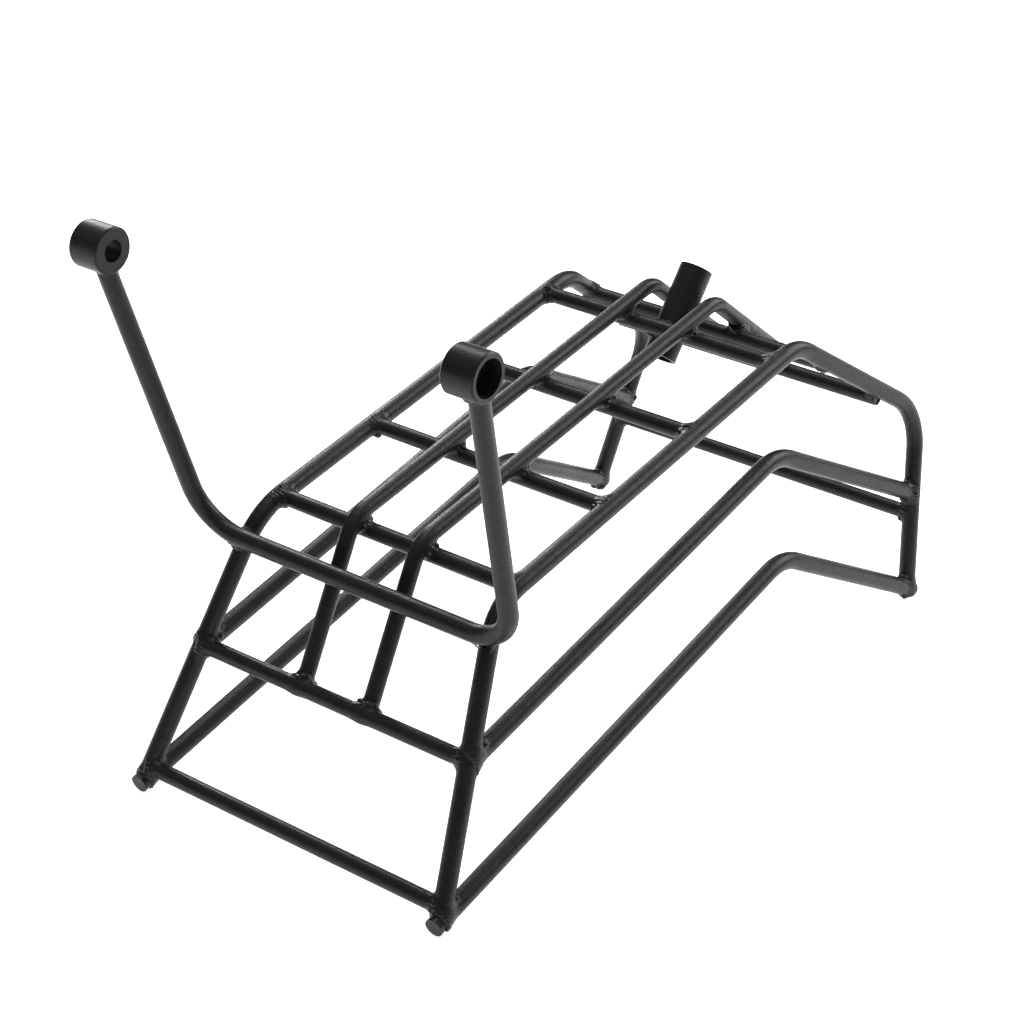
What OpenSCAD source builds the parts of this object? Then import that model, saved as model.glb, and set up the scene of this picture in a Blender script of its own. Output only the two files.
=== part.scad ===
// Welded round-bar luggage rack that stands on four bar ends and carries its load on a sloping deck.
// X is the width, Y runs from the low near end to the far end and Z is up from the ground.
// Side parts are drawn on the +X side and mirrored. Lengths along Y count from the near feet.

/* [Bar stock] */
// Diameter of the side bars and of the yoke
main_d = 10; // [9:0.5:11]
// Diameter of the deck rails and of all the crossbars
cross_d = 8.8; // [8:0.2:9.4]

/* [Side hoops] */
// Half width between the near feet, bar centre to mid plane
near_foot_x = 98.3; // [94:0.1:104]
// Distance of the near post's foot behind the bottom rail's end
near_foot_y = 4.7; // [4:0.1:7]
// Half width at the near end of the deck
near_deck_x = 76.1; // [72:0.1:82]
// Length to the near end of the deck
near_deck_y = 73.8; // [70:0.1:78]
// Height of the near end of the deck, bar centre
near_deck_z = 142.3; // [140:0.1:146]
// Half width at the far end of the deck
far_deck_x = 77.2; // [74:0.1:82]
// Length to the far end of the deck
far_deck_y = 340.3; // [337:0.1:344]
// Height of the far end of the deck, bar centre
far_deck_z = 186.3; // [184:0.1:190]
// Half width at the knee of the far leg
far_knee_x = 95.1; // [92:0.1:98]
// Length to the knee of the far leg
far_knee_y = 456; // [452:0.5:460]
// Height of the knee of the far leg
far_knee_z = 110.4; // [107:0.1:114]
// Bend radius of the hoop at the near end of the deck, to the bar centre
near_deck_bend = 36; // [20:1:44]
// Bend radius of the hoop at the far end of the deck
far_deck_bend = 33; // [20:1:44]
// Bend radius of the knee
far_knee_bend = 34; // [18:1:38]

/* [Bottom and mid rails] */
// Half width at the bottom rail's knee
bottom_knee_x = 95.8; // [93:0.1:98]
// Length to the bottom rail's knee
bottom_knee_y = 310; // [305:0.5:315]
// Height of the bottom rail's knee
bottom_knee_z = 73.9; // [70:0.1:78]
// Half width between the far feet
far_foot_x = 112.7; // [110:0.1:115]
// Length to the far feet
far_foot_y = 437; // [434:0.5:440]
// Half width of the mid rail where it meets the near post
mid_near_x = 86.8; // [86:0.1:88]
// Height of the mid rail where it meets the near post
mid_near_z = 73.9; // [72:0.1:78]
// Half width at the mid rail's knee
mid_knee_x = 85.1; // [83:0.1:88]
// Length to the mid rail's knee
mid_knee_y = 313.8; // [310:0.1:318]
// Height of the mid rail's knee
mid_knee_z = 132.5; // [130:0.1:135]
// Height of the mid rail where it meets the far post
mid_far_z = 62.3; // [62:0.5:68]
// Bend radius of both knees
rail_bend = 38; // [24:1:46]

/* [Deck] */
// Half distance between the two deck rails, bar centre to mid plane
deck_rail_x = 21.1; // [18:0.1:26]
// Length to each crossbar under the deck
deck_bar_y = [90, 165.2, 240.5, 318.8]; // [88:0.1:322]
// Bend radius at both ends of a deck rail
deck_rail_bend = 19; // [14:1:24]
// Distance of the deck rails' near slopes behind the near posts
deck_rail_back = 3.8; // [0:0.1:4.2]
// Length to the upper crossbar of the far leg
leg_upper_y = 368.8; // [364:0.1:376]
// Drop of the upper crossbar below the leg's centre line
leg_upper_drop = 1.4; // [0:0.1:2]
// Length to the lower crossbar of the far leg
leg_lower_y = 418.7; // [414:0.1:422]
// Drop of the lower crossbar below the leg's centre line
leg_lower_drop = 5; // [4:0.1:5.4]

/* [End crossbars] */
// Height of the crossbar at the near feet
near_low_z = 12; // [11:0.5:14]
// Height of the crossbar halfway up the near posts
near_mid_z = 75; // [70:0.5:80]
// Height of the crossbar halfway up the far posts
far_mid_z = 50.4; // [48:0.1:54]

/* [Yoke] */
// Height of the yoke's bar
yoke_z = 133.5; // [130:0.5:136]
// Half width of the yoke at its corners
yoke_x = 98.5; // [96:0.5:102]
// Bend radius of the yoke's corners
yoke_bend = 28; // [20:1:32]
// Half distance between the two bosses, middle to mid plane
boss_x = 111; // [110:0.5:114]
// Length to the bosses
boss_y = 7.6; // [2:0.1:12]
// Height of the bosses
boss_z = 298; // [290:0.5:304]
// Distance of the arm's top outboard of the boss's middle
arm_offset = 1.8; // [0:0.1:3]
// Outer diameter of a boss
boss_d = 23.5; // [22:0.5:25]
// Width of a boss
boss_w = 18; // [16:0.5:20]
// Diameter of the screw hole
screw_d = 11; // [10.5:0.5:12]
// Diameter of the recess for the screw's head
head_d = 18; // [17:0.5:19]
// Depth of the recess for the screw's head
head_depth = 9; // [7:0.5:10]

/* [Socket tube] */
// Outer diameter of the socket tube
tube_d = 19; // [18:0.5:20]
// Bore of the socket tube
tube_bore = 15; // [14:0.5:16]
// Length of the socket tube
tube_len = 54.5; // [48:0.5:60]
// Lean of the socket tube from upright, towards the far end
tube_lean = 38; // [34:1:42]
// Length along the tube from its lower end to the level of the last deck crossbar
tube_below = 13; // [11:0.5:20]

/* [Hidden] */
$fn = 48;

main_r = main_d / 2;
cross_r = cross_d / 2;

// Half the overall length from the bosses' front to the knee's back, which puts the origin at mid length.
centre_y = 226.3;

// How far a cutting bar runs past the bar that it shapes.
past = 12;

// Smallest step between two surfaces that would otherwise coincide.
hair = 0.015;

// Section radius of the weld bead round a butted end, and diameter of the one between crossed bars.
ring_r = 2.4;
groove_d = 9.6;

// Unit vector, a point part of the way along a line, and the point of a line at a given length or height.
function unit(v) = v / norm(v);
function between(a, b, part) = a + (b - a) * part;
function at_y(a, b, y) = between(a, b, (y - a[1]) / (b[1] - a[1]));
function at_z(a, b, z) = between(a, b, (z - a[2]) / (b[2] - a[2]));

// Upward direction square to a bar that runs from a to b, in the plane of the bar and the vertical.
function square_up(a, b) = let (d = unit(b - a)) unit([0, 0, 1] - d * d[2]);

// Height of a sloping bar's end, so that the lowest point of its end face is at ground level.
function end_height(run) = main_r * cos(atan((bottom_knee_z - main_r) / run));

// Corner points of the side bars on the +X side.
near_foot = [near_foot_x, near_foot_y, main_r];
near_end_z = end_height(bottom_knee_y);
far_end_z = end_height(far_foot_y - bottom_knee_y);
near_deck = [near_deck_x, near_deck_y, near_deck_z];
far_deck = [far_deck_x, far_deck_y, far_deck_z];
far_knee = [far_knee_x, far_knee_y, far_knee_z];
far_foot = [far_foot_x, far_foot_y, far_end_z];
bottom_end = [near_foot_x - 0.4, 0, near_end_z];
bottom_knee = [bottom_knee_x, bottom_knee_y, bottom_knee_z];
mid_knee = [mid_knee_x, mid_knee_y, mid_knee_z];

// The far post stands on the bottom rail just above its end.
landing_part = 0.035;
far_post_end = between(far_foot, bottom_knee, landing_part);

// The mid rail runs from the near post to a little inboard of the far post's centre.
mid_near = [mid_near_x, at_z(near_foot, near_deck, mid_near_z)[1], mid_near_z];
mid_far = at_z(far_knee, far_post_end, mid_far_z) - [1, 0, 0];

// The far leg's two crossbars, dropped square to the leg.
leg_up = square_up(far_deck, far_knee);
upper_leg = at_y(far_deck, far_knee, leg_upper_y) - leg_up * leg_upper_drop;
lower_leg = at_y(far_deck, far_knee, leg_lower_y) - leg_up * leg_lower_drop;

// The deck rails lie on the crossbars, one bar's depth above their centres.
deck_lift = square_up(near_deck, far_deck) * cross_d;
leg_line = unit([0, lower_leg[1] - upper_leg[1], lower_leg[2] - upper_leg[2]]);
leg_lift = [0, -leg_line[2], leg_line[1]] * cross_d;
deck_dir = unit(far_deck - near_deck);
post_dir = unit(near_deck - near_foot);

// Square to the near posts in the side view, towards the near end.
post_front = unit([0, -post_dir[2], post_dir[1]]);

// Where a line of the deck rail meets the next, solved in the side view of y and z.
function side(v) = [v[1], v[2]];
function cross2(a, b) = a[0] * b[1] - a[1] * b[0];
function meet(p, d, q, e) = p + d * (cross2(q - p, e) / cross2(d, e));
rail_deck_point = side(near_deck + deck_lift);
rail_near = meet(side(near_foot - post_front * deck_rail_back), side(post_dir),
                 rail_deck_point, side(deck_dir));
rail_far = meet(rail_deck_point, side(deck_dir), side(upper_leg + leg_lift), side(leg_line));
mid_bar_point = at_z(near_foot, near_deck, near_mid_z);
rail_start = side(mid_bar_point - post_front * deck_rail_back);
rail_end = side(lower_leg + leg_lift + leg_line * cross_r);
function on_rail(p) = [deck_rail_x, p[0], p[1]];

// The yoke's bar rests against the front of the near posts.
yoke_post = at_z(near_foot, near_deck, yoke_z - post_front[2] * main_d);
yoke_mid = yoke_post + post_front * main_d;
yoke_corner = [yoke_x, yoke_mid[1], yoke_z];
boss_mid = [boss_x, boss_y, boss_z];
arm_end = [boss_x + arm_offset, boss_y, boss_z];

// The socket tube leans across the mid plane behind the last deck crossbar.
last_bar = at_y(near_deck, far_deck, deck_bar_y[3]);
tube_dir = [0, sin(tube_lean), cos(tube_lean)];
tube_side = [0, cos(tube_lean), -sin(tube_lean)];
tube_gap = 1.4;
tube_level = [0, last_bar[1], last_bar[2]] + tube_side * (tube_d / 2 + cross_r + tube_gap);
tube_low = tube_level - tube_dir * tube_below;

// Places a child, drawn along +Z from the origin, so that it starts at a and points towards b.
module aim(a, b) {
    d = unit(b - a);
    across = abs(d[0]) > 0.9 ? unit(cross(d, [0, 0, 1])) : unit(cross(d, [1, 0, 0]));
    up = cross(d, across);
    multmatrix([[across[0], up[0], d[0], a[0]],
                [across[1], up[1], d[1], a[1]],
                [across[2], up[2], d[2], a[2]],
                [0, 0, 0, 1]])
        children();
}

// A straight round bar from a to b.
module rod(a, b, d) {
    aim(a, b) cylinder(h = norm(b - a), d = d);
}

// The same bar run past both of its ends, for cutting its seat in another bar.
module cutter(a, b, d) {
    run = unit(b - a) * past;
    rod(a - run, b + run, d);
}

// The length of straight bar that a bend of radius r takes at the corner b.
function bend_take(a, b, c, r) = r * tan(acos(unit(b - a) * unit(c - b)) / 2);

// The round bend of radius r at the corner b of the path a, b, c. It is a hair thinner than the
// straight runs, which reach a hair into it, so that no two surfaces coincide.
module bend(a, b, c, r, d) {
    go = unit(b - a);
    leave = unit(c - b);
    turn = acos(go * leave);
    start = b - go * bend_take(a, b, c, r);
    inward = unit(leave - go * (go * leave));
    axis = cross(-inward, go);
    heart = start + inward * r;
    multmatrix([[-inward[0], go[0], axis[0], heart[0]],
                [-inward[1], go[1], axis[1], heart[1]],
                [-inward[2], go[2], axis[2], heart[2]],
                [0, 0, 0, 1]])
        rotate_extrude(angle = turn)
            translate([r, 0])
                circle(d = d - 2 * hair);
}

// A bar of diameter d along the path p, with a bend of the matching radius at each inner corner.
module bent_bar(p, bends, d) {
    last = len(p) - 1;
    for (i = [0 : last - 1]) {
        take_a = i == 0 ? 0 : bend_take(p[i - 1], p[i], p[i + 1], bends[i - 1]);
        take_b = i == last - 1 ? 0 : bend_take(p[i], p[i + 1], p[i + 2], bends[i]);
        run = unit(p[i + 1] - p[i]);
        start = take_a - (i == 0 ? 0 : 2 * hair);
        stop = take_b - (i == last - 1 ? 0 : 2 * hair);
        rod(p[i] + run * start, p[i + 1] - run * stop, d);
    }
    for (i = [1 : last - 1])
        bend(p[i - 1], p[i], p[i + 1], bends[i - 1], d);
}

// Puts what is drawn on the +X side in its place, or its mirror image on the -X side.
module sided(hand) {
    translate([0, -centre_y, 0])
        if (hand > 0) children(); else mirror([1, 0, 0]) children();
}

module centred() {
    translate([0, -centre_y, 0]) children();
}

// The three straight runs of a side hoop, used to seat the bars that meet it.
module near_post_cutter() cutter(near_foot, near_deck, main_d);
module deck_side_cutter() cutter(near_deck, far_deck, main_d);
module far_leg_cutter() cutter(far_deck, far_knee, main_d);
module far_post_cutter() cutter(far_knee, far_post_end, main_d);
module bottom_near_cutter() cutter(bottom_end, bottom_knee, main_d);
module bottom_far_cutter() cutter(bottom_knee, far_foot, main_d);

module hoop(hand) {
    color("#1c1c1e")
        sided(hand)
            difference() {
                bent_bar([near_foot, near_deck, far_deck, far_knee, far_post_end],
                         [near_deck_bend, far_deck_bend, far_knee_bend], main_d);
                bottom_near_cutter();
                bottom_far_cutter();
            }
}

module bottom_rail(hand) {
    color("#1c1c1e")
        sided(hand)
            bent_bar([bottom_end, bottom_knee, far_foot], [rail_bend], main_d);
}

module mid_rail(hand) {
    color("#1c1c1e")
        sided(hand)
            difference() {
                bent_bar([mid_near, mid_knee, mid_far], [rail_bend], main_d);
                near_post_cutter();
                far_post_cutter();
            }
}

module deck_rail(hand) {
    color("#202022")
        sided(hand)
            difference() {
                bent_bar([on_rail(rail_start), on_rail(rail_near), on_rail(rail_far), on_rail(rail_end)],
                         [deck_rail_bend, deck_rail_bend], cross_d);
                bar_line(mid_bar_point);
            }
}

// A crossbar's full line through the point p of the side view.
module bar_line(p) {
    rod([-past * 10, p[1], p[2]], [past * 10, p[1], p[2]], cross_d);
}

// A crossbar through the point p of a side bar, with both ends seated on what the children cut.
module crossbar(p) {
    color("#1a1a1c")
        centred()
            difference() {
                rod([-p[0], p[1], p[2]], [p[0], p[1], p[2]], cross_d);
                children();
                mirror([1, 0, 0]) children();
            }
}

module near_low_bar() {
    crossbar(at_z(near_foot, near_deck, near_low_z)) {
        near_post_cutter();
        bottom_near_cutter();
    }
}

module near_mid_bar() crossbar(mid_bar_point) near_post_cutter();

module deck_bar(i) crossbar(at_y(near_deck, far_deck, deck_bar_y[i])) deck_side_cutter();

module leg_upper_bar() crossbar(upper_leg) far_leg_cutter();

module leg_lower_bar() crossbar(lower_leg) far_leg_cutter();

module far_mid_bar() crossbar(at_z(far_knee, far_post_end, far_mid_z)) far_post_cutter();

module yoke() {
    color("#1c1c1e")
        centred()
            difference() {
                bent_bar([[-arm_end[0], arm_end[1], arm_end[2]],
                          [-yoke_x, yoke_corner[1], yoke_z],
                          yoke_corner,
                          arm_end], [yoke_bend, yoke_bend], main_d);
                boss_blank();
                mirror([1, 0, 0]) boss_blank();
            }
}

// The solid outline of a boss, which shapes the end of the yoke's arm.
module boss_blank() {
    translate(boss_mid)
        rotate([0, 90, 0])
            cylinder(h = boss_w, d = boss_d, center = true);
}

module boss(hand) {
    lip = 0.8;
    color("#161618")
        sided(hand)
            translate(boss_mid)
                rotate([0, 90, 0])
                    difference() {
                        union() {
                            cylinder(h = boss_w - 2 * lip, d = boss_d, center = true);
                            for (end = [0, 1])
                                mirror([0, 0, end])
                                    translate([0, 0, boss_w / 2 - lip])
                                        cylinder(h = lip, d1 = boss_d, d2 = boss_d - 2 * lip);
                        }
                        cylinder(h = boss_w + 2, d = screw_d, center = true);
                        translate([0, 0, boss_w / 2 - head_depth])
                            cylinder(h = head_depth + 1, d = head_d);
                    }
}

module socket_tube() {
    color("#161618")
        centred()
            aim(tube_low, tube_low + tube_dir)
                difference() {
                    cylinder(h = tube_len, d = tube_d);
                    translate([0, 0, -1])
                        cylinder(h = tube_len + 2, d = tube_bore);
                }
}

// A bead of weld round the bar of diameter d that runs from a to b, at a height above a, trimmed by its children.
module ring_bead(a, b, d, height) {
    difference() {
        aim(a, b)
            translate([0, 0, height])
                rotate_extrude()
                    translate([d / 2, 0])
                        intersection() {
                            circle(r = ring_r);
                            translate([0, -ring_r]) square(2 * ring_r);
                        }
        children();
    }
}

// The bead round the end of a crossbar through p, where it butts on the side bar that runs from a to b.
module butt_bead(p, a, b) {
    ring_bead(p, [0, p[1], p[2]], cross_d, main_r - 0.6) {
        cutter(a, b, main_d);
        children();
    }
}

// The bead in the groove between two bars that touch crosswise, hollow where they touch.
module groove_bead(p, a, b, da, c, e, de, normal) {
    difference() {
        translate(p) sphere(d = groove_d);
        cutter(a, b, da);
        cutter(c, e, de);
        rod(p - normal * groove_d, p + normal * groove_d, 3);
    }
}

// Beads between a deck rail's run from a to b, in the side view, and the crossbar through p beneath it.
module rail_bead(p, lift, a, b) {
    groove_bead([deck_rail_x, p[1], p[2]] + lift / 2,
                on_rail(a), on_rail(b), cross_d,
                [0, p[1], p[2]], p, cross_d, unit(lift));
}

module both_sides() {
    centred() {
        children();
        mirror([1, 0, 0]) children();
    }
}

module near_welds() {
    low = at_z(near_foot, near_deck, near_low_z);
    color("#242426")
        both_sides() {
            butt_bead(low, near_foot, near_deck) bottom_near_cutter();
            butt_bead(mid_bar_point, near_foot, near_deck);
            ring_bead(near_foot, near_deck, main_d, main_r) {
                bottom_near_cutter();
                rod([0, low[1], low[2]], low, cross_d + 2 * (ring_r + hair));
            }
            ring_bead(mid_near, mid_knee, main_d, main_r + 1) near_post_cutter();
            ring_bead(on_rail(rail_start), on_rail(rail_near), cross_d, cross_r) bar_line(mid_bar_point);
        }
}

module deck_welds() {
    color("#242426")
        both_sides()
            for (y = deck_bar_y) {
                p = at_y(near_deck, far_deck, y);
                butt_bead(p, near_deck, far_deck);
                rail_bead(p, deck_lift, rail_near, rail_far);
            }
}

module far_welds() {
    color("#242426")
        both_sides() {
            for (p = [upper_leg, lower_leg]) {
                butt_bead(p, far_deck, far_knee);
                rail_bead(p, leg_lift, rail_far, rail_end);
            }
            butt_bead(at_z(far_knee, far_post_end, far_mid_z), far_knee, far_post_end);
            ring_bead(mid_far, mid_knee, main_d, main_r) far_post_cutter();
            ring_bead(far_post_end, far_knee, main_d, main_r) bottom_far_cutter();
        }
}

module yoke_welds() {
    post_touch = yoke_post + post_front * main_r;
    rail_touch = on_rail(side(yoke_mid - post_front * (main_r + deck_rail_back / 2)));
    color("#242426")
        both_sides() {
            groove_bead(post_touch, near_foot, near_deck, main_d,
                        [0, yoke_mid[1], yoke_z], yoke_mid, main_d, post_front);
            difference() {
                translate(rail_touch) sphere(d = groove_d);
                cutter(on_rail(rail_start), on_rail(rail_near), cross_d);
                cutter([0, yoke_mid[1], yoke_z], yoke_mid, main_d);
            }
            ring_bead(arm_end, yoke_corner, main_d, boss_d / 2 + 0.6) boss_blank();
        }
}

// The weld that fills the gap between the socket tube and the last deck crossbar.
module socket_weld() {
    color("#242426")
        centred()
            difference() {
                translate(tube_level - tube_side * (tube_d + tube_gap) / 2) sphere(d = 11);
                aim(tube_low, tube_low + tube_dir) cylinder(h = tube_len, d = tube_d);
                bar_line(last_bar);
            }
}

hoop(-1);  // hoop_left
hoop(1);  // hoop_right
deck_rail(-1);  // deck_rail_left
deck_rail(1);  // deck_rail_right
mid_rail(-1);  // mid_rail_left
mid_rail(1);  // mid_rail_right
bottom_rail(-1);  // bottom_rail_left
bottom_rail(1);  // bottom_rail_right
near_low_bar();
near_mid_bar();
deck_bar(0);  // deck_bar_1
deck_bar(1);  // deck_bar_2
deck_bar(2);  // deck_bar_3
deck_bar(3);  // deck_bar_4
leg_upper_bar();
leg_lower_bar();
far_mid_bar();
yoke();
boss(-1);  // boss_left
boss(1);  // boss_right
socket_tube();
near_welds();
deck_welds();
far_welds();
yoke_welds();
socket_weld();
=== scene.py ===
import math
import bpy
import numpy as np
from mathutils import Matrix, Vector, noise
from mathutils.bvhtree import BVHTree


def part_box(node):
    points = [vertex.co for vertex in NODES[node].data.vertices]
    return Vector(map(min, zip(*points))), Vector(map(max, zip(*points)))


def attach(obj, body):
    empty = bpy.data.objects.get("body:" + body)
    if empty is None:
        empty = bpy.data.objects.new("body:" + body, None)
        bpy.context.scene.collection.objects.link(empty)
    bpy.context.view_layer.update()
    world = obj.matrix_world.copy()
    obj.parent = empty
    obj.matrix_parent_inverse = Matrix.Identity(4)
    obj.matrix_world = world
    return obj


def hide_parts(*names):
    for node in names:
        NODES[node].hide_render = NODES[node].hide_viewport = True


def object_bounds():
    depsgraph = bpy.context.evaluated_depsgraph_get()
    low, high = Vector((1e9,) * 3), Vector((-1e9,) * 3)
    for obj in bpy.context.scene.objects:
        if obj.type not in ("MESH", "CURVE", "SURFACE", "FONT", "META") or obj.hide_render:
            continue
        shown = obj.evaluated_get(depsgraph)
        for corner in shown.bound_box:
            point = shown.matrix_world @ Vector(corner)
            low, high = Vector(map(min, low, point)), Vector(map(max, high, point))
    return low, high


MM = 0.001

# ---------------------------------------------------------------- frame
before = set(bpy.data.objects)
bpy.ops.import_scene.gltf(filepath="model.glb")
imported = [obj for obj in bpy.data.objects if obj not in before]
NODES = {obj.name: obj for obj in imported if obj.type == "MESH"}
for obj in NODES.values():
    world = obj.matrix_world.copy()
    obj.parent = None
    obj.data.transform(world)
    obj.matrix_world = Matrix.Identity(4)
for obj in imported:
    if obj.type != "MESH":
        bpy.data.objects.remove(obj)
LOW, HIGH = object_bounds()
CENTRE = (LOW + HIGH) / 2

BAR_NODES = [n for n in NODES if "weld" not in n]
SIDES = (("left", -1), ("right", 1))
X, Y, Z = 0, 1, 2
X_AXIS = Vector((1, 0, 0))

# Radii of the bars and of a boss, as in the CAD.
MAIN_R = 5.0 * MM
CROSS_R = 4.4 * MM
BOSS_R = 11.75 * MM

# Half the size of the box in which a bar's section is looked for, and the least height to cut a post at.
CUT_REACH = 13 * MM
FOOT_CLEAR = 14 * MM


# ---------------------------------------------------------------- bar axes
def node_edges(name):
    """Both ends of every mesh edge of a node."""
    mesh = NODES[name].data
    co = np.array([v.co for v in mesh.vertices], float)
    ends = np.array([e.vertices[:] for e in mesh.edges], int)
    return co[ends[:, 0]], co[ends[:, 1]]


def all_metal():
    """All the bars' surfaces together, to find how far a point is from real metal."""
    points, faces = [], []
    for name in BAR_NODES:
        mesh, start = NODES[name].data, len(points)
        points += [v.co.copy() for v in mesh.vertices]
        faces += [[start + i for i in p.vertices] for p in mesh.polygons]
    return BVHTree.FromPolygons(points, faces)


EDGES = {n: node_edges(n) for n in BAR_NODES}
METAL = all_metal()


def cut_centre(name, axis, level, near=(None, None, None)):
    """Centre of a bar's section on a plane, close to a rough point whose None values are free."""
    a, b = EDGES[name]
    da, db = a[:, axis] - level, b[:, axis] - level
    hit = da * db < 0
    part = (da[hit] / (da[hit] - db[hit]))[:, None]
    points = a[hit] + (b[hit] - a[hit]) * part
    for k in range(3):
        if near[k] is not None and k != axis:
            points = points[np.abs(points[:, k] - near[k]) < CUT_REACH]
    return Vector((points.min(0) + points.max(0)) / 2)


def local_axis(name, axis, level, near=(None, None, None), step=3 * MM):
    """Point and direction of a bar's centre line where it crosses a level."""
    here = cut_centre(name, axis, level, near)
    before = cut_centre(name, axis, level - step, here)
    after = cut_centre(name, axis, level + step, here)
    return here, (after - before).normalized()


def box_centre(name):
    low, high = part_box(name)
    return (low + high) / 2


def closest_on(a, u, b, v):
    """Point midway between two lines where they pass nearest."""
    gap = a - b
    uv, du, dv = u.dot(v), u.dot(gap), v.dot(gap)
    base = 1 - uv * uv
    s = (uv * dv - du) / base
    t = (dv - uv * du) / base
    return ((a + u * s) + (b + v * t)) / 2


# ---------------------------------------------------------------- shader helpers
def new_material(name):
    mat = bpy.data.materials.new(name)
    mat.use_nodes = True
    tree = mat.node_tree
    return mat, tree, tree.nodes["Principled BSDF"]


def node(tree, kind, **inputs):
    made = tree.nodes.new(kind)
    for key, value in inputs.items():
        made.inputs[key.replace("_", " ")].default_value = value
    return made


def ramp(tree, source, stops):
    """Colour ramp between grey values."""
    made = tree.nodes.new("ShaderNodeValToRGB")
    for point, (at, value) in zip(made.color_ramp.elements, stops):
        point.position = at
        point.color = (value, value, value, 1)
    tree.links.new(source, made.inputs["Fac"])
    return made.outputs["Color"]


def mix(tree, kind, factor, a, b):
    """Colour mix whose factor and colours are sockets or plain values."""
    made = tree.nodes.new("ShaderNodeMix")
    made.data_type = "RGBA"
    made.blend_type = kind
    factor_in, a_in, b_in = made.inputs[0], made.inputs[6], made.inputs[7]
    for socket, value in ((factor_in, factor), (a_in, a), (b_in, b)):
        if isinstance(value, bpy.types.NodeSocket):
            tree.links.new(value, socket)
        elif socket.type == "VALUE":
            socket.default_value = value
        else:
            socket.default_value = (*value, 1)
    return made.outputs[2]


def bump(tree, height, strength, distance, under=None, invert=False):
    """Bump laid over another bump's normal."""
    made = node(tree, "ShaderNodeBump", Strength=strength, Distance=distance)
    made.invert = invert
    tree.links.new(height, made.inputs["Height"])
    if under is not None:
        tree.links.new(under, made.inputs["Normal"])
    return made.outputs["Normal"]


def lighter(base, gain, lift):
    return tuple(v * gain + lift for v in base)


# ---------------------------------------------------------------- powder coat
SPECULAR = 0.22
IOR = 1.5
PATCH_SCALE = 34.0
SPECK_SCALE = 1900.0
PIT_SCALE = 1250.0


def powder_coat(name, base, rough, grain, grain_scale, peel, peel_scale, wear):
    """Satin black powder coat: orange-peel skin, uneven sheen, fine dust and a few rubbed places."""
    mat, tree, shader = new_material(name)
    coords = tree.nodes.new("ShaderNodeTexCoord").outputs["Object"]
    broad = node(tree, "ShaderNodeTexNoise", Scale=PATCH_SCALE, Detail=5.0, Roughness=0.6)
    fine = node(tree, "ShaderNodeTexNoise", Scale=grain_scale, Detail=3.0, Roughness=0.55)
    speck = node(tree, "ShaderNodeTexNoise", Scale=SPECK_SCALE, Detail=3.0, Roughness=0.7)
    pits = node(tree, "ShaderNodeTexVoronoi", Scale=PIT_SCALE)
    waves = node(tree, "ShaderNodeTexNoise", Scale=peel_scale, Detail=2.0, Roughness=0.5)
    for texture in (broad, fine, speck, pits, waves):
        tree.links.new(coords, texture.inputs["Vector"])

    patches = ramp(tree, broad.outputs["Fac"], ((0.34, 0.0), (0.68, 1.0)))
    specks = ramp(tree, speck.outputs["Fac"], ((0.50, 0.0), (0.72, 0.8)))
    rubbed = ramp(tree, broad.outputs["Fac"], ((0.70, 0.0), (0.80, wear)))
    tone = mix(tree, "MIX", patches, base, lighter(base, 1.6, 0.001))
    tone = mix(tree, "MIX", specks, tone, lighter(base, 3.2, 0.022))
    tone = mix(tree, "MIX", rubbed, tone, lighter(base, 2.4, 0.004))
    tree.links.new(tone, shader.inputs["Base Color"])

    sheen = ramp(tree, broad.outputs["Fac"], ((0.25, rough - 0.06), (0.75, rough + 0.08)))
    grit = ramp(tree, fine.outputs["Fac"], ((0.3, 0.0), (0.7, 0.09)))
    tree.links.new(mix(tree, "ADD", 1.0, sheen, grit), shader.inputs["Roughness"])
    shader.inputs["Specular IOR Level"].default_value = SPECULAR
    shader.inputs["IOR"].default_value = IOR

    normal = bump(tree, waves.outputs["Fac"], 0.5, peel)
    normal = bump(tree, fine.outputs["Fac"], 0.55, grain, normal)
    normal = bump(tree, pits.outputs["Distance"], 0.25, grain * 0.5, normal, invert=True)
    tree.links.new(normal, shader.inputs["Normal"])
    return mat


BAR_COAT = powder_coat(
    "bar_coat", base=(0.0040, 0.0040, 0.0042), rough=0.33,
    grain=0.13 * MM, grain_scale=1100.0, peel=0.3 * MM, peel_scale=260.0, wear=0.5)
BOSS_COAT = powder_coat(
    "machined_boss", base=(0.0036, 0.0036, 0.0038), rough=0.34,
    grain=0.10 * MM, grain_scale=1300.0, peel=0.14 * MM, peel_scale=300.0, wear=0.4)
WELD_COAT = powder_coat(
    "weld_bead", base=(0.0042, 0.0042, 0.0045), rough=0.28,
    grain=0.14 * MM, grain_scale=1100.0, peel=0.7 * MM, peel_scale=420.0, wear=0.5)

SHARP_ANGLE = math.radians(32)


def dress(obj, mat):
    obj.data.materials.clear()
    obj.data.materials.append(mat)


def smooth(mesh):
    mesh.polygons.foreach_set("use_smooth", [True] * len(mesh.polygons))


for bar_name in BAR_NODES:
    turned = bar_name.startswith("boss") or bar_name == "socket_tube"
    dress(NODES[bar_name], BOSS_COAT if turned else BAR_COAT)
    smooth(NODES[bar_name].data)
    NODES[bar_name].data.set_sharp_from_angle(angle=SHARP_ANGLE)


# ---------------------------------------------------------------- weld shapes
# A shape is (point, direction, radius): an endless round bar, or a ball where the direction is None.
CORE_REACH = 26 * MM
HALVINGS = 20

# Least height of a fillet that is kept, and the depth to which its edge is sunk into the bars.
THINNEST = 0.01 * MM
SUNK = 0.06 * MM

# Distances over which a fillet fades out at its side limit, and past the end of real metal.
SIDE_FADE = 1.6 * MM
METAL_SLACK = 0.35 * MM
METAL_FADE = 1.2 * MM

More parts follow.
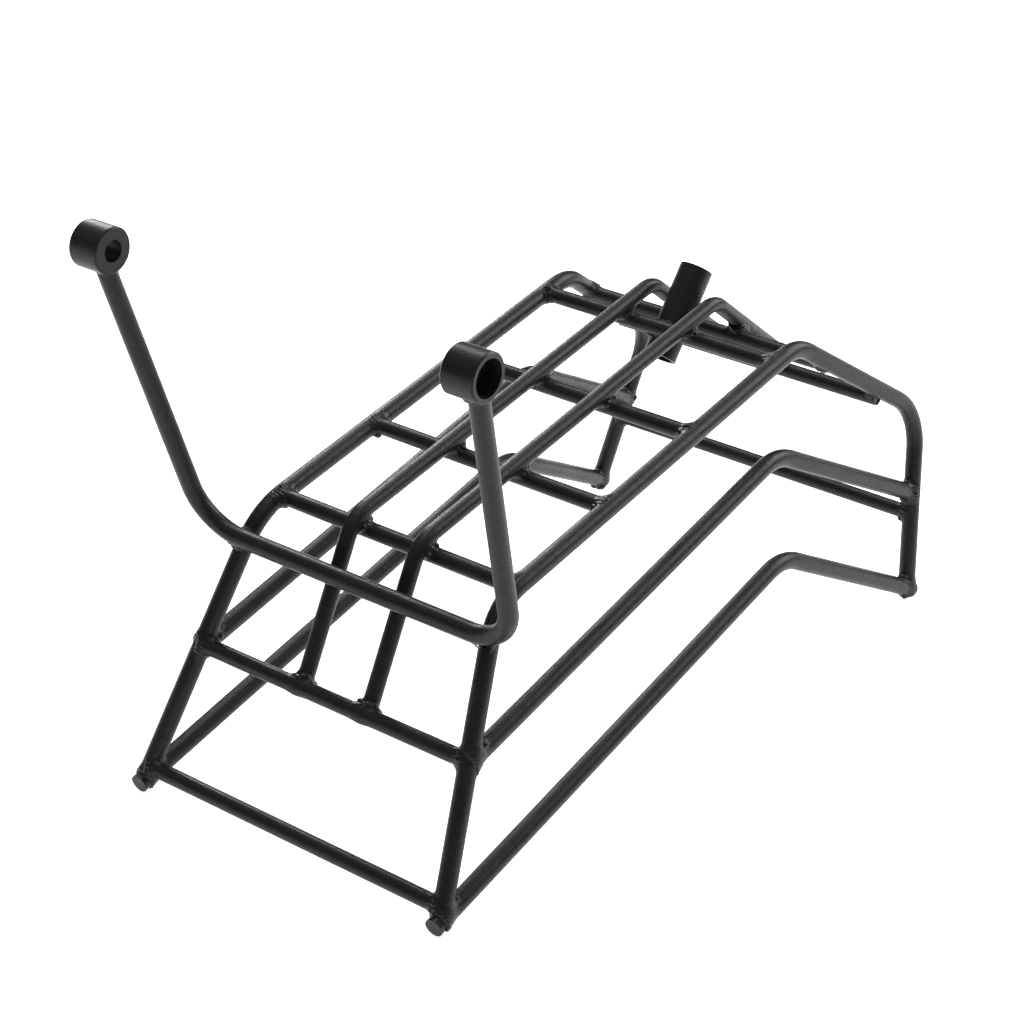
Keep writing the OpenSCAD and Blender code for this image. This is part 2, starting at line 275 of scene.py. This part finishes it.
# The torch's rows: their pitch, how tall they are, the thickness of metal that shows them in full.
ROW_PITCH = 2.1 * MM
ROW_HEIGHT = 0.2 * MM
ROW_METAL = 0.5 * MM
WANDER_SCALE = 190


def shape_distance(points, shape):
    start, along, radius = shape
    rel = points - np.array(start)
    if along is not None:
        line = np.array(along)
        rel = rel - np.outer(rel @ line, line)
    return np.linalg.norm(rel, axis=1) - radius


def smooth_union(points, shapes, width):
    """Distance from the skin of the shapes, joined by fillets of a given width."""
    skin = shape_distance(points, shapes[0])
    for shape in shapes[1:]:
        other = shape_distance(points, shape)
        part = np.clip(0.5 + 0.5 * (other - skin) / width, 0, 1)
        skin = other + (skin - other) * part - width * part * (1 - part)
    return skin


def plain_union(points, shapes):
    """Distance from the skin of the bars alone, without the balls."""
    return np.min([shape_distance(points, s) for s in shapes if s[1] is not None], axis=0)


def sphere_rays():
    """Directions spread evenly over a sphere, and the triangles between them."""
    bpy.ops.mesh.primitive_ico_sphere_add(subdivisions=6, radius=1.0)
    obj = bpy.context.object
    co = np.array([v.co for v in obj.data.vertices], float)
    faces = np.array([p.vertices[:] for p in obj.data.polygons], int)
    bpy.data.objects.remove(obj)
    return co / np.linalg.norm(co, axis=1)[:, None], faces


RAYS, RAY_FACES = sphere_rays()


def reach_along(core, distance):
    """How far every ray runs from the core to the skin where the distance is zero."""
    inner, outer = np.zeros(len(RAYS)), np.full(len(RAYS), CORE_REACH)
    for _ in range(HALVINGS):
        middle = (inner + outer) / 2
        inside = distance(core + RAYS * middle[:, None]) < 0
        inner, outer = np.where(inside, middle, inner), np.where(inside, outer, middle)
    return inner


def ball_reach(core, centre, radius):
    """How far every ray runs to the far side of a ball, zero where the ray misses it."""
    gap = centre - core
    middle = RAYS @ gap
    rest = radius ** 2 - (gap @ gap - middle ** 2)
    return np.where((rest > 0) & (middle > 0), middle + np.sqrt(np.maximum(rest, 0)), 0)


def torch_rows(points, along, seed):
    """Uneven rows left by the torch, between about -1 and 1."""
    out = np.empty(len(points))
    for i, p in enumerate(points):
        wander = noise.noise(Vector(p) * WANDER_SCALE + Vector((seed * 3.7, seed * 1.3, 0)))
        turn = (p @ along) * 2 * math.pi / ROW_PITCH
        out[i] = 0.5 * math.sin(turn + wander * 4 + seed) + 0.7 * wander
    return out


class WeldRun:
    """Collects the fillets of one group of joints into one piece."""

    def __init__(self, name):
        self.name = name
        self.points = []
        self.faces = []
        self.count = 0
        self.joints = 0

    def lumps(self, core, full, thick, number):
        """Raises a few random round lumps on the thick part of a fillet."""
        chance = np.random.default_rng(self.joints * 13 + len(self.name))
        spots = np.flatnonzero(thick > 0.55 * thick.max())
        balls = []
        for spot in chance.choice(spots, number):
            size = chance.uniform(1.6, 2.7) * MM
            balls.append((core + RAYS[spot] * (full[spot] - size * chance.uniform(0.42, 0.68)), size))
        for centre, size in balls:
            full = np.maximum(full, ball_reach(core, centre, size))
        return full

    def fading(self, core, bare, full, keep, facing, back):
        """1 where a fillet stays whole, falling to 0 past its side limit and where the bars really end."""
        fade = np.ones(len(RAYS))
        if facing is not None:
            side = (RAYS * full[:, None]) @ np.array(facing)
            fade = np.clip((side - back) / SIDE_FADE, 0, 1)
        for i in np.flatnonzero(keep & (fade > 0)):
            gap = METAL.find_nearest(Vector(core + RAYS[i] * bare[i]))[3]
            fade[i] *= min(1, max(0, 1 - (gap - METAL_SLACK) / METAL_FADE))
        return fade

    def add(self, centre, shapes, width, facing=None, back=-0.6 * MM, lumps=4):
        """A fillet round a joint, kept where it stands proud of real bars and on the side that it faces."""
        self.joints += 1
        core = np.array(centre)
        bare = reach_along(core, lambda points: plain_union(points, shapes))
        full = reach_along(core, lambda points: smooth_union(points, shapes, width))
        thick = full - bare
        if facing is not None:
            thick = thick * (RAYS @ np.array(facing) > 0)
        full = self.lumps(core, full, thick, lumps)
        proud = full - bare
        keep = (proud > THINNEST) & (bare < CORE_REACH * 0.9)
        fade = self.fading(core, bare, full, keep, facing, back)
        keep &= fade > 0

        rows = torch_rows((core + RAYS * full[:, None])[keep], np.array(shapes[0][1]),
                          self.joints + len(self.name))
        body = np.clip(proud[keep] / ROW_METAL, 0, 1) * fade[keep]
        radius = bare[keep] + proud[keep] * fade[keep] + body * ROW_HEIGHT * rows - (1 - body) * SUNK
        index = np.full(len(RAYS), -1)
        index[keep] = np.arange(keep.sum())
        faces = index[RAY_FACES]
        faces = faces[(faces >= 0).all(1)]
        self.points.append(core + RAYS[keep] * radius[:, None])
        self.faces.append(faces + self.count)
        self.count += int(keep.sum())

    def finish(self, replaced):
        """Makes the piece, inside the CAD model's box, in place of a CAD node."""
        points = np.clip(np.concatenate(self.points), np.array(LOW), np.array(HIGH))
        mesh = bpy.data.meshes.new(self.name)
        mesh.from_pydata(points.tolist(), [], np.concatenate(self.faces).tolist())
        smooth(mesh)
        mesh.validate()
        obj = bpy.data.objects.new(self.name, mesh)
        bpy.context.scene.collection.objects.link(obj)
        dress(obj, WELD_COAT)
        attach(obj, "root")
        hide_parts(replaced)


# ---------------------------------------------------------------- kinds of joint
def crossbar(name):
    return box_centre(name), X_AXIS, CROSS_R


def butt_joint(run, bar, axis, width):
    """Both ends of a crossbar, butted against the side hoops."""
    centre, along, radius = crossbar(bar)
    level = max(centre.z, LOW.z + FOOT_CLEAR) if axis == Z else centre[axis]
    for side, hand in SIDES:
        here, run_dir = local_axis(f"hoop_{side}", axis, level, (None, centre.y, centre.z))
        core = closest_on(here, run_dir, centre, along)
        run.add(core, [(here, run_dir, MAIN_R), (centre, along, radius)], width, facing=(-hand, 0, 0))


def rail_joint(run, bar, width):
    """Both deck rails where they cross a crossbar."""
    centre, along, radius = crossbar(bar)
    for side, _hand in SIDES:
        here, run_dir = local_axis(f"deck_rail_{side}", Y, centre.y, (None, centre.y, centre.z))
        under = Vector((here.x, centre.y, centre.z))
        square = here - under
        square -= run_dir * square.dot(run_dir)
        run.add(under + square * 0.5, [(here, run_dir, CROSS_R), (centre, along, radius)], width, lumps=8)


def post_joint(run, rail, end, width):
    """The end of a side rail, coped onto a post and welded round."""
    way = 1 if end == "near" else -1
    for side, _hand in SIDES:
        name = f"{rail}_{side}"
        low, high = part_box(name)
        level = (low.y if end == "near" else high.y) + way * 16 * MM
        rail_here, rail_dir = local_axis(name, Y, level)
        back = rail_here - rail_dir * (way * 12 * MM)
        height = max(back.z, LOW.z + FOOT_CLEAR)
        post_here, post_dir = local_axis(f"hoop_{side}", Z, height, (None, back.y, None))
        core = closest_on(post_here, post_dir, rail_here, rail_dir)
        run.add(core, [(post_here, post_dir, MAIN_R), (rail_here, rail_dir, MAIN_R)], width,
                facing=rail_dir * way, back=-1.5 * MM)


def rail_start_joint(run, side, bar, width):
    """A deck rail's near end on the middle crossbar."""
    level = bar[0].z + 14 * MM
    here, run_dir = local_axis(f"deck_rail_{side}", Z, level, (None, bar[0].y + 8 * MM, None))
    core = closest_on(here, run_dir, bar[0], bar[1])
    run.add(core, [(here, run_dir, CROSS_R), bar], width, facing=(0, 0, 1), back=-3.5 * MM, lumps=9)


def arm_joint(run, side, width):
    """A yoke arm's upper end, under its boss."""
    boss = box_centre(f"boss_{side}")
    low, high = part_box(f"boss_{side}")
    here, arm_dir = local_axis("yoke", Z, boss.z - 26 * MM, (boss.x, None, None))
    core = here + arm_dir * ((boss.z - here.z - BOSS_R * 0.6) / arm_dir.z)
    run.add(core, [(here, arm_dir, MAIN_R), (boss, X_AXIS, (high.z - low.z) / 2)], width,
            facing=-arm_dir, back=-4 * MM)


# ---------------------------------------------------------------- the rack's welds
def near_welds():
    run = WeldRun("near_weld_beads")
    butt_joint(run, "near_low_bar", Z, 4.2 * MM)
    butt_joint(run, "near_mid_bar", Z, 4.6 * MM)
    post_joint(run, "bottom_rail", "near", 4.6 * MM)
    post_joint(run, "mid_rail", "near", 6.0 * MM)
    for side, _hand in SIDES:
        rail_start_joint(run, side, crossbar("near_mid_bar"), 5.6 * MM)
    run.finish("near_welds")


def deck_welds():
    run = WeldRun("deck_weld_beads")
    for number in range(1, 5):
        butt_joint(run, f"deck_bar_{number}", Y, 4.6 * MM)
        rail_joint(run, f"deck_bar_{number}", 5.0 * MM)
    run.finish("deck_welds")


def far_welds():
    run = WeldRun("far_weld_beads")
    for bar in ("leg_upper_bar", "leg_lower_bar"):
        butt_joint(run, bar, Y, 4.2 * MM)
        rail_joint(run, bar, 5.0 * MM)
    butt_joint(run, "far_mid_bar", Z, 4.2 * MM)
    post_joint(run, "mid_rail", "far", 4.2 * MM)
    post_joint(run, "bottom_rail", "far", 4.2 * MM)
    run.finish("far_welds")


def yoke_welds():
    run = WeldRun("yoke_weld_beads")
    # Just off the middle, so that the cut misses any vertex there.
    here = cut_centre("yoke", X, 0.4 * MM)
    yoke_bar = (here, X_AXIS, MAIN_R)
    for side, _hand in SIDES:
        post, post_dir = local_axis(f"hoop_{side}", Z, here.z, (None, here.y + 8 * MM, None))
        core = closest_on(post, post_dir, here, X_AXIS)
        run.add(core, [(post, post_dir, MAIN_R), yoke_bar], 5.0 * MM)
        rail, rail_dir = local_axis(f"deck_rail_{side}", Z, here.z, (None, here.y + 12 * MM, None))
        core = closest_on(rail, rail_dir, here, X_AXIS)
        run.add(core, [(rail, rail_dir, CROSS_R), yoke_bar, (core, None, 4.4 * MM)], 2.6 * MM)
        arm_joint(run, side, 3.2 * MM)
    run.finish("yoke_welds")


def socket_weld():
    run = WeldRun("socket_weld_bead")
    last_bar = crossbar("deck_bar_4")
    low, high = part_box("socket_tube")
    here, tube_dir = local_axis("socket_tube", Z, box_centre("socket_tube").z)
    core = closest_on(here, tube_dir, last_bar[0], X_AXIS)
    tube = (here, tube_dir, (high.x - low.x) / 2)
    run.add(core, [last_bar, tube, (core, None, 5.0 * MM)], 3.0 * MM)
    run.finish("socket_weld")


near_welds()
deck_welds()
far_welds()
yoke_welds()
socket_weld()


# ---------------------------------------------------------------- floor and light
FLOOR_SIZE = 14.0
FLOOR_GAP = 0.4 * MM


def floor_material():
    mat, tree, shader = new_material("studio_floor")
    coords = tree.nodes.new("ShaderNodeTexCoord").outputs["Object"]
    cloud = node(tree, "ShaderNodeTexNoise", Scale=3.0, Detail=4.0)
    tree.links.new(coords, cloud.inputs["Vector"])
    pale = ramp(tree, cloud.outputs["Fac"], ((0.2, 0.93), (0.8, 0.96)))
    tree.links.new(pale, shader.inputs["Base Color"])
    shader.inputs["Roughness"].default_value = 0.9
    shader.inputs["Specular IOR Level"].default_value = 0.1
    shader.inputs["Emission Color"].default_value = (1, 1, 1, 1)
    shader.inputs["Emission Strength"].default_value = 0.78
    return mat


def lay_floor():
    bpy.ops.mesh.primitive_plane_add(size=FLOOR_SIZE, location=(0, 0, LOW.z - FLOOR_GAP))
    floor = bpy.context.object
    floor.name = "studio_floor_plane"
    dress(floor, floor_material())


def bearing(azimuth, elevation):
    """Unit vector towards an azimuth, where 0 is at -Y and 90 at +X, and an elevation, both in degrees."""
    a, e = math.radians(azimuth), math.radians(elevation)
    return Vector((math.sin(a) * math.cos(e), -math.cos(a) * math.cos(e), math.sin(e)))


def softbox(name, azimuth, elevation, distance, size, power):
    """An area light that faces the object's centre."""
    light = bpy.data.lights.new(name, "AREA")
    light.shape = "RECTANGLE"
    light.size, light.size_y = size
    light.energy = power
    back = bearing(azimuth, elevation)
    obj = bpy.data.objects.new(name, light)
    bpy.context.scene.collection.objects.link(obj)
    obj.location = CENTRE + back * distance
    obj.rotation_mode = "QUATERNION"
    obj.rotation_quaternion = (-back).to_track_quat("-Z", "Y")


def surround():
    """A studio that is pale overhead and dim at the sides."""
    world = bpy.data.worlds.new("studio_surround")
    bpy.context.scene.world = world
    world.use_nodes = True
    tree = world.node_tree
    coords = tree.nodes.new("ShaderNodeTexCoord").outputs["Generated"]
    split = tree.nodes.new("ShaderNodeSeparateXYZ")
    tree.links.new(coords, split.inputs[0])
    shade = ramp(tree, split.outputs["Z"], ((0.10, 0.04), (0.95, 0.60)))
    tree.links.new(shade, tree.nodes["Background"].inputs["Color"])
    tree.nodes["Background"].inputs["Strength"].default_value = 1.0


lay_floor()
softbox("back_right_bank", 152, 30, 1.9, (1.5, 1.0), 31)
softbox("overhead_strip", 215, 76, 1.7, (0.3, 1.4), 12)
softbox("back_left_strip", -125, 30, 1.9, (0.3, 1.2), 17)
surround()
bpy.context.scene.view_settings.view_transform = "Standard"

# ---------------------------------------------------------------- camera
AZIMUTH = 36.572
ELEVATION = 27.863
ROLL = math.radians(1.263)
DISTANCE = 1333.318 * MM
AIM = Vector((4.325, -44.521, 124.305)) * MM
SENSOR = 36.0
FOCAL = 89.02


def set_camera():
    """The camera at the photo's angle, a little rolled."""
    forward = -bearing(AZIMUTH, ELEVATION)
    level_right = forward.cross(Vector((0, 0, 1))).normalized()
    level_up = level_right.cross(forward)
    right = level_right * math.cos(ROLL) + level_up * math.sin(ROLL)
    up = level_up * math.cos(ROLL) - level_right * math.sin(ROLL)
    lens = bpy.data.cameras.new("photo_camera")
    lens.sensor_width = SENSOR
    lens.lens = FOCAL
    camera = bpy.data.objects.new("photo_camera", lens)
    bpy.context.scene.collection.objects.link(camera)
    place = Matrix((right, up, -forward)).transposed().to_4x4()
    place.translation = AIM - forward * DISTANCE
    camera.matrix_world = place
    bpy.context.scene.camera = camera


set_camera()
